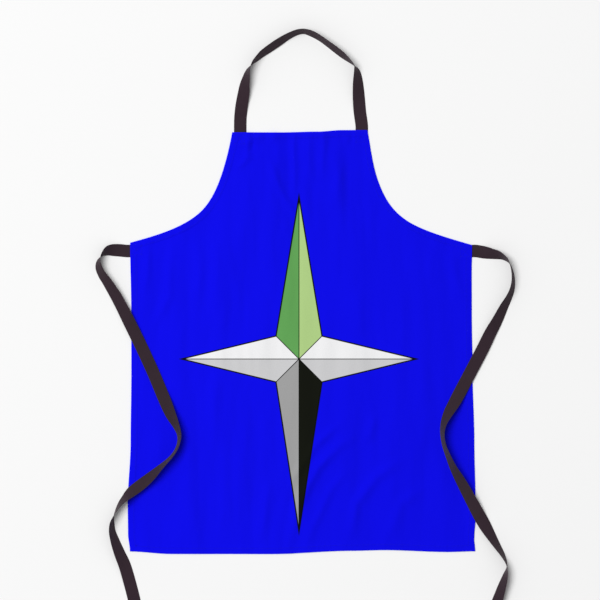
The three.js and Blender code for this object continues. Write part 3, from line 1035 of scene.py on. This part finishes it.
@dataclass
class Tape:
    """A length of flat woven tape along a route.

    The route's rows are metres across, metres up, metres of lift under the lowest edge, and
    degrees of roll about its own line.
    """

    name: str
    rows: np.ndarray
    cloth: ClothShape
    length: float | None = None
    hemmed: bool = False
    width: float = 0.025
    thickness: float = 0.0007
    step: float = 0.0025
    over_cloth: float = 0.0002
    flat_lift: float = 0.0004
    near_cloth: float = 0.004
    seam_reach: float = 0.04
    smoothing: int = 8
    hem_start: float = 0.0105
    hem_end: float = 0.0125
    hem_growth: float = 0.85

    def frames(self) -> tuple[np.ndarray, np.ndarray, np.ndarray, np.ndarray]:
        """Where the tape runs and how it faces.

        Returns:
            Its centre line, its way across, its face's normal and the distance along it.
        """
        line = through(self.rows, self.step)
        travel = np.gradient(line[:, :2], axis=0)
        travel /= np.hypot(*travel.T)[:, None]
        walked = distances(line)
        if self.length is not None:
            keep = walked <= self.length
            line, travel, walked = line[keep], travel[keep], walked[keep]
        roll = np.radians(line[:, 3])
        sine, cosine = np.sin(roll), np.cos(roll)
        z = line[:, 2] + np.abs(sine) * self.width / 2 + np.abs(cosine) * self.flat_lift
        centre = np.stack([line[:, 0], line[:, 1], z], axis=-1)
        left = np.stack([-travel[:, 1], travel[:, 0]], axis=-1)
        across = np.concatenate([left * cosine[:, None], sine[:, None]], axis=1)
        normal = np.concatenate([-left * sine[:, None], cosine[:, None]], axis=1)
        return self._clear_of_cloth(centre, across), across, normal, walked

    def _clear_of_cloth(self, centre: np.ndarray, across: np.ndarray) -> np.ndarray:
        """Raises the tape where it would cut into the cloth that it lies on.

        Args:
            centre: the tape's centre line.
            across: its way across.

        Returns:
            The raised centre line.
        """
        need = np.zeros(len(centre))
        for share in np.linspace(-0.5, 0.5, 9):
            x, y, z = (centre + across * (share * self.width)).T
            below_seam = y < self.cloth.waist - self.seam_reach
            crossing = self.cloth.holds(x, y, self.near_cloth) & below_seam
            top = self.cloth.faces_at(x, y)[1] + self.thickness / 2 + self.over_cloth
            need = np.maximum(need, np.where(crossing, top - z, 0))
        reach = self.smoothing
        padded = np.pad(need, reach, mode="edge")
        most = np.array([padded[i : i + 2 * reach + 1].max() for i in range(len(need))])
        kernel = np.hanning(2 * reach + 3)[1:-1]
        smooth = np.convolve(np.pad(most, reach, mode="edge"), kernel / kernel.sum(), "valid")
        raised = centre.copy()
        raised[:, 2] += np.maximum(smooth, 0)
        return raised

    def build(self, material: bpy.types.Material) -> tuple[bpy.types.Object, np.ndarray]:
        """Makes the tape.

        Args:
            material: the tape's finish.

        Returns:
            The piece and its centre line.
        """
        centre, across, normal, walked = self.frames()
        u = np.array([-1, -0.975, -0.93, -0.72, -0.36, 0, 0.36, 0.72, 0.93, 0.975, 1.0])
        thick = np.array([0.0, 0.72, 0.95, 1, 1, 1, 1, 1, 0.95, 0.72, 0.0])
        lower = np.stack([u[-2:0:-1], -thick[-2:0:-1]], axis=-1)
        section = np.vstack([np.stack([u, thick], axis=-1), lower])
        section *= (self.width / 2, self.thickness / 2)
        grow = np.ones(len(walked))
        if self.hemmed:
            past = smoothstep(self.hem_start, self.hem_end, walked[-1] - walked)
            grow += self.hem_growth * (1 - past)
            centre[:, 2] += (grow - 1) * self.thickness / 2
        sideways = across[:, None, :] * section[None, :, :1]
        outward = normal[:, None, :] * (section[None, :, 1:] * grow[:, None, None])
        rings = centre[:, None, :] + sideways + outward
        faces = ring_faces(*rings.shape[:2])
        piece = new_piece(self.name, rings.reshape(-1, 3), faces, material)
        lie = np.zeros(rings.shape)
        lie[:, :, 0], lie[:, :, 2] = section.T[:, None]
        lie[:, :, 1] = walked[:, None]
        set_attribute(piece, "lie", lie.reshape(-1, 3))
        return piece, centre


@dataclass
class NeckStrap:
    """The strap's loop above the bib, sewn under the bib's two top corners."""

    cloth: ClothShape
    foot: float
    spread: float
    sewn: float = 0.028
    fold_below: float = 0.0015
    fold_above: float = 0.024

    def build(self, material: bpy.types.Material) -> bpy.types.Object:
        """Makes the strap.

        Args:
            material: the tape's finish.

        Returns:
            The piece.
        """
        route = in_metres(STRAP_ROUTE)
        route[:, 0] *= self.spread / -route[0, 0]
        route[:, 1] += self.foot
        start, end = ([[route[i, 0], self.foot - self.sewn, SEWN_LIFT, 0]] for i in (0, -1))
        tape = Tape("neck_strap_tape", np.vstack([start, route, end]), self.cloth)
        piece, line = tape.build(material)
        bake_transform(piece)
        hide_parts("neck_strap", "neck_strap_end_left", "neck_strap_end_right")
        return piece


@dataclass
class WaistTie:
    """One tie, sewn under a waist corner and lying across the panel's front."""

    way: Way
    cloth: ClothShape
    seam: Point
    turn: Point
    sewn: float = 0.026
    free: float = 0.915
    turn_inset: float = 0.001
    turn_run: float = 0.030

    def rows(self) -> np.ndarray:
        """The tie's route in the apron's frame.

        Returns:
            The route's rows, with its sewn end first.
        """
        route = in_metres(LEFT_TIE_ROUTE if self.way is Way.LEFT else RIGHT_TIE_ROUTE)
        route[:, :2] += self.seam
        inward = -math.copysign(self.sewn, self.seam[0])
        return np.vstack([[[self.seam[0] + inward, self.seam[1], SEWN_LIFT, 0]], route])

    def build(self, material: bpy.types.Material) -> Tape:
        """Makes the tie.

        Args:
            material: the tape's finish.

        Returns:
            Its tape.
        """
        side = self.way.value
        length = self.sewn + self.free
        tape = Tape(f"waist_tie_{side}_tape", self.rows(), self.cloth, length, hemmed=True)
        piece, line = tape.build(material)
        high = self.turn[1] - self.turn_inset
        low = high - self.turn_run
        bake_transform(piece)
        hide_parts(f"waist_tie_{side}", f"waist_tie_base_{side}")
        log.info("waist tie, %s: %.3f m of tape", side, length)
        return tape


# ---- stitching


class StitchTree:
    """Geometry Nodes that lay stitches along rows."""

    SIZES = (
        ("Pitch", "NodeSocketFloat", 0.0030),
        ("Stitch Length", "NodeSocketFloat", 0.0024),
        ("Thread Width", "NodeSocketFloat", 0.00055),
        ("Thread Height", "NodeSocketFloat", 0.00035),
        ("Stray", "NodeSocketFloat", 0.05),
        ("Seed", "NodeSocketInt", 7),
        ("Thread", "NodeSocketMaterial", None),
    )

    def __init__(self) -> None:
        """Builds the tree."""
        tree = bpy.data.node_groups.new("stitch_rows", "GeometryNodeTree")
        face = tree.interface
        face.new_socket("Geometry", in_out="INPUT", socket_type="NodeSocketGeometry")
        for name, kind, value in self.SIZES:
            socket = face.new_socket(name, in_out="INPUT", socket_type=kind)
            if value is not None:
                socket.default_value = value
        face.new_socket("Geometry", in_out="OUTPUT", socket_type="NodeSocketGeometry")
        self.tree = tree
        graph = Graph(tree)
        given = graph.node("NodeGroupInput").outputs
        row = graph.node("GeometryNodeMeshToCurve", {}, {"Mesh": given["Geometry"]})
        inputs = {"Curve": row.outputs[0], "Length": given["Pitch"]}
        spots = graph.node("GeometryNodeCurveToPoints", {"mode": "LENGTH"}, inputs)
        axes = {"primary_axis": "X", "secondary_axis": "Z"}
        inputs = {0: spots.outputs["Tangent"], 1: (0.0, 0.0, 1.0)}
        turn = graph.node("FunctionNodeAxesToRotation", axes, inputs)
        ball = graph.node("GeometryNodeMeshUVSphere", {}, {"Segments": 8, "Rings": 5, "Radius": 0.5})
        smooth = graph.node("GeometryNodeSetShadeSmooth", {}, {"Geometry": ball.outputs[0]})
        sizes = {i: given[self.SIZES[i + 1][0]] for i in range(3)}
        size = graph.node("ShaderNodeCombineXYZ", {}, sizes)
        inputs = {
            "Points": spots.outputs["Points"],
            "Instance": smooth.outputs[0],
            "Rotation": turn.outputs[0],
            "Scale": size.outputs[0],
        }
        laid = graph.node("GeometryNodeInstanceOnPoints", {}, inputs)
        stray = Term(graph, given["Stray"])
        inputs = {2: -stray, 3: stray, "Seed": given["Seed"]}
        spread = graph.node("FunctionNodeRandomValue", {"data_type": "FLOAT"}, inputs)
        angle = graph.node("ShaderNodeCombineXYZ", {}, {2: spread.outputs[1]})
        inputs = {"Instances": laid.outputs[0], "Rotation": angle.outputs[0]}
        strayed = graph.node("GeometryNodeRotateInstances", {}, inputs)
        real = graph.node("GeometryNodeRealizeInstances", {}, {0: strayed.outputs[0]})
        inputs = {0: real.outputs[0], "Material": given["Thread"]}
        dressed = graph.node("GeometryNodeSetMaterial", {}, inputs)
        graph.node("NodeGroupOutput", {}, {0: dressed.outputs[0]})

    def _identifier(self, name: str) -> str:
        """The identifier of an input of the tree."""
        items = self.tree.interface.items_tree
        return next(i.identifier for i in items if i.name == name and i.in_out == "INPUT")

    def sew(
        self,
        name: str,
        rows: Sequence[np.ndarray],
        values: dict[str, object],
        material: bpy.types.Material,
    ) -> bpy.types.Object:
        """Sews rows of stitches as one plain mesh.

        Args:
            name: the piece's name.
            rows: the rows' points, in metres.
            values: the tree's inputs by name, where they aren't the usual ones.
            material: the thread's finish.

        Returns:
            The piece.
        """
        edges, start = [], 0
        for row in rows:
            edges += [(start + i, start + i + 1) for i in range(len(row) - 1)]
            start += len(row)
        mesh = bpy.data.meshes.new(name)
        mesh.from_pydata(np.vstack(rows).tolist(), edges, [])
        piece = bpy.data.objects.new(name, mesh)
        bpy.context.scene.collection.objects.link(piece)
        modifier = piece.modifiers.new("stitches", "NODES")
        modifier.node_group = self.tree
        for key, value in {**values, "Thread": material}.items():
            modifier[self._identifier(key)] = value
        bpy.context.view_layer.update()
        evaluated = piece.evaluated_get(bpy.context.evaluated_depsgraph_get())
        plain = bpy.data.meshes.new_from_object(evaluated)
        piece.modifiers.remove(modifier)
        piece.data = plain
        return piece


@dataclass
class Stitching:
    """Every row of stitches on the apron, on both faces of the cloth."""

    shape: ClothShape
    tree: StitchTree
    cloth_thread: bpy.types.Material
    tape_thread: bpy.types.Material
    inset: float = 0.011
    gap: float = 0.003
    proud: float = 0.00016
    lowest: float = 0.00018
    row_step: float = 0.0012
    box_margin: float = 0.0004
    tie_hem: float = 0.010
    tie_margin: float = 0.002
    tie_pitch: float = 0.0026

    def _laid(self, x: np.ndarray, y: np.ndarray) -> list[np.ndarray]:
        """Lays the same row of stitches on the front and on the back of the cloth.

        Args:
            x: the row's places across the flat cut.
            y: its places up the flat cut.

        Returns:
            The front's row and the back's.
        """
        back, front = self.shape.faces_at(x, y)
        under_tape = self.shape.over_tape(x, y) > 0.9
        back = np.maximum(np.where(under_tape, 0.0, back - self.proud), self.lowest)
        settled = self.shape.settle(x, y)
        return [np.stack([*settled, z], axis=-1) for z in (front + self.proud, back)]

    def _line(self, a: Point, b: Point) -> list[np.ndarray]:
        """Lays a straight row of stitches between two places on the flat cut.

        Args:
            a: the first place.
            b: the second place.

        Returns:
            The front's row and the back's.
        """
        count = max(2, int(math.dist(a, b) / self.row_step) + 1)
        return self._laid(np.linspace(a[0], b[0], count), np.linspace(a[1], b[1], count))

    def _sew(self, name: str, rows: list[np.ndarray], node: str, tie: str | None = None) -> None:
        """Sews rows of stitches and puts them on the panel, or on a tie in its own thread.

        Args:
            name: the piece's name.
            rows: its rows.
            node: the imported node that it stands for.
            tie: the tie's body, if they are on one.
        """
        values = {"Pitch": self.tie_pitch} if tie else {"Seed": len(name)}
        thread = self.tape_thread if tie else self.cloth_thread
        piece = self.tree.sew(name, rows, values, thread)
        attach(piece, tie or "panel")
        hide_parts(node)
        log.info("%s: %d faces", name, len(piece.data.polygons))

    def hems(self) -> None:
        """Sews the hem's rows."""
        shape, inset = self.shape, self.inset
        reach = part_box("hem_thread_top")[1].x
        side_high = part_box("hem_thread_side_right")[1].y
        side_x, low, high = shape.half_width - inset, shape.low + inset, shape.high - inset
        self._sew("stitches_top", self._line((-reach, high), (reach, high)), "hem_thread_top")
        bottom = self._line((-side_x, low), (side_x, low))
        self._sew("stitches_bottom", bottom, "hem_thread_bottom")
        curve = shape.armhole(160)
        way = np.gradient(curve, axis=0)
        way /= np.hypot(*way.T)[:, None]
        seat = curve + np.stack([-way[:, 1], way[:, 0]], axis=-1) * inset
        first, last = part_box("hem_thread_armhole_right")
        seat = seat[(seat[:, 0] < last.x) & (seat[:, 1] < last.y) & (seat[:, 1] > first.y)]
        for side, sign in (("left", -1), ("right", 1)):
            rows = self._line((sign * side_x, low + self.gap), (sign * side_x, side_high))
            self._sew(f"stitches_side_{side}", rows, f"hem_thread_side_{side}")
            rows = self._laid(sign * seat[:, 0], seat[:, 1])
            self._sew(f"stitches_armhole_{side}", rows, f"hem_thread_armhole_{side}")

    def boxes(self) -> None:
        """Sews a crossed box over each sewn tape end."""
        for end in ("neck_left", "neck_right", "waist_left", "waist_right"):
            low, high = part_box("box_stitch_" + end)
            left, right = low.x + self.box_margin, high.x - self.box_margin
            foot, head = low.y + self.box_margin, high.y - self.box_margin
            corners = [(left, foot), (right, foot), (right, head), (left, head)]
            rows: list[np.ndarray] = []
            for i, j in ((0, 1), (1, 2), (2, 3), (3, 0), (0, 2), (1, 3)):
                rows += self._line(corners[i], corners[j])
            self._sew("stitches_box_" + end, rows, "box_stitch_" + end)

    def tie_end(self, side: str, tape: Tape) -> None:
        """Sews the row across a tie's hemmed end.

        Args:
            side: which tie.
            tape: its tape.
        """
        centre, across, normal, walked = tape.frames()
        i = int(np.searchsorted(walked, walked[-1] - self.tie_hem))
        up = normal[i] * np.sign(normal[i][2])
        shares = np.linspace(-1, 1, 8)[:, None] * (tape.width / 2 - self.tie_margin)
        lift = tape.thickness * 0.925 + self.proud
        rows = [centre[i] + across[i] * shares + up * s * lift for s in (1.0, -1.0)]
        rows[1][:, 2] = np.maximum(rows[1][:, 2], self.lowest)
        self._sew(f"stitches_tie_end_{side}", rows, f"tie_end_thread_{side}", f"tie_{side}")


# ---- label


@dataclass
class CareLabel:
    """A blank label folded double on the back, with one edge caught in the side hem."""

    shape: ClothShape
    thickness: float = 0.00018
    clearance: float = 0.00012
    droop: float = 0.00008
    caught: float = 0.001
    wave_height: float = 0.00010
    wave_length: float = 0.021

    def build(self, material: bpy.types.Material) -> bpy.types.Object:
        """Makes the label.

        Args:
            material: the label's finish.

        Returns:
            The piece.
        """
        low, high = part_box("care_label")
        x, y = np.meshgrid(np.linspace(low.x - self.caught, high.x, 14), np.linspace(low.y, high.y, 20))
        share = (x - low.x) / (high.x - low.x)
        under = self.shape.faces_at(x, y)[0] - self.clearance
        wave = self.wave_height * np.sin((y - low.y) * 2 * math.pi / self.wave_length) * share
        top = np.minimum(under - self.droop * share + wave, under)
        top = np.maximum(top, SEWN_LIFT + self.thickness)
        settled = self.shape.settle(x, y)
        sides = [np.stack([*settled, z], axis=-1).reshape(-1, 3) for z in (top, top - self.thickness)]
        faces, loop = sheet_faces(*x.shape)
        for a, b in zip(loop, loop[1:] + loop[:1]):
            faces.append((a, x.size + a, x.size + b, b))
        piece = new_piece("care_label_ribbon", np.vstack(sides), faces, material)
        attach(piece, "panel")
        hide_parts("care_label")
        log.info("care label: %d faces", len(faces))
        return piece


# ---- studio


@dataclass
class Studio:
    """The pale floor, the soft light and the camera overhead."""

    centre: Point = (-0.002, 0.084)
    width: float = 1.2
    height: float = 14.0
    sensor: float = 36.0
    floor_reach: float = 8.0
    key_place: tuple[float, float, float] = (-6.0, 3.6, 15.0)
    key_size: float = 11.0
    key_power: float = 2330.0
    sky: float = 0.385

    def camera(self) -> None:
        """Puts the camera straight above the apron."""
        data = bpy.data.cameras.new("overhead_camera")
        data.sensor_width = self.sensor
        data.lens = self.sensor * self.height / self.width
        data.clip_end = 50.0
        made = bpy.data.objects.new("overhead_camera", data)
        made.location = (*self.centre, self.height)
        bpy.context.scene.collection.objects.link(made)
        bpy.context.scene.camera = made

    def floor(self) -> None:
        """Lays the pale surface under the apron."""
        mesh = bpy.data.meshes.new("pale_floor")
        r = self.floor_reach
        mesh.from_pydata([(-r, -r, 0), (r, -r, 0), (r, r, 0), (-r, r, 0)], [], [(0, 1, 2, 3)])
        mesh.materials.append(FloorFinish().build())
        made = bpy.data.objects.new("pale_floor", mesh)
        bpy.context.scene.collection.objects.link(made)

    def lights(self) -> None:
        """Lights the apron from all round, and a little more from the upper left."""
        scene = bpy.context.scene
        scene.view_settings.view_transform = "Standard"
        world = bpy.data.worlds.new("soft_studio")
        world.use_nodes = True
        graph = Graph(world.node_tree)
        inputs = {"Color": (1, 1, 1, 1), "Strength": self.sky}
        sky = graph.node("ShaderNodeBackground", {}, inputs)
        graph.node("ShaderNodeOutputWorld", {}, {"Surface": sky.outputs[0]})
        scene.world = world
        data = bpy.data.lights.new("key_panel", "AREA")
        data.shape, data.size = "DISK", self.key_size
        data.energy = self.key_power
        made = bpy.data.objects.new("key_panel", data)
        made.location = self.key_place
        made.rotation_euler = (-made.location).to_track_quat("-Z", "Y").to_euler()
        scene.collection.objects.link(made)


# ---- building


TIE_INSET = 0.014  # from the waist corner down to the middle of a tie
TIE_OUT = 0.004  # how far past the panel's side a tie still bulges under it
STRAP_FOOT = 0.002  # from the bib's top edge up to where the strap is free


def waist_ends(shape: ClothShape, seam_y: float) -> list[tuple[Vector, Vector]]:
    """The boxes of the two ties' ends under the panel's sides.

    Args:
        shape: the cloth's shape.
        seam_y: the height of the ties' middle.

    Returns:
        Each box's low and high corners.
    """
    inner, outer = shape.half_width - WaistTie.sewn, shape.half_width + TIE_OUT
    low, high = seam_y - Tape.width / 2, seam_y + Tape.width / 2
    return [
        (Vector((-outer, low, 0)), Vector((-inner, high, 0))),
        (Vector((inner, low, 0)), Vector((outer, high, 0))),
    ]


def main() -> None:
    """Builds the apron piece by piece, the camera and the cords first."""
    logging.basicConfig(level=logging.INFO, format="%(message)s")
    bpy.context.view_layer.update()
    low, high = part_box("body_panel")
    shape = ClothShape(half_width=high.x, low=low.y, high=high.y)
    seam_y = shape.waist - TIE_INSET
    neck_ends = [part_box(f"neck_strap_end_{side}") for side in ("left", "right")]
    shape.tape_ends = neck_ends + waist_ends(shape, seam_y)

    studio = Studio()
    studio.camera()
    tape_finish = TapeFinish().build()
    spread = (neck_ends[1][0].x + neck_ends[1][1].x) / 2
    NeckStrap(shape, foot=shape.high + STRAP_FOOT, spread=spread).build(tape_finish)
    turns = {j["child"]: j["pos_m"] for j in frame["joints"]}
    ties: dict[str, Tape] = {}
    for way, sign in ((Way.LEFT, -1), (Way.RIGHT, 1)):
        turn = turns["tie_" + way.value]
        tie = WaistTie(way, shape, seam=(sign * high.x, seam_y), turn=(turn[0], turn[1]))
        ties[way.value] = tie.build(tape_finish)

    ApronCloth(shape).build(ClothFinish().build())
    cloth_thread, tape_thread = (ThreadFinish(colour).build() for colour in ThreadColour)
    stitching = Stitching(shape, StitchTree(), cloth_thread, tape_thread)
    stitching.hems()
    stitching.boxes()
    for side, tape in ties.items():
        stitching.tie_end(side, tape)
    CareLabel(shape).build(LabelFinish().build())
    studio.floor()
    studio.lights()


if __name__ == "__main__":
    main()
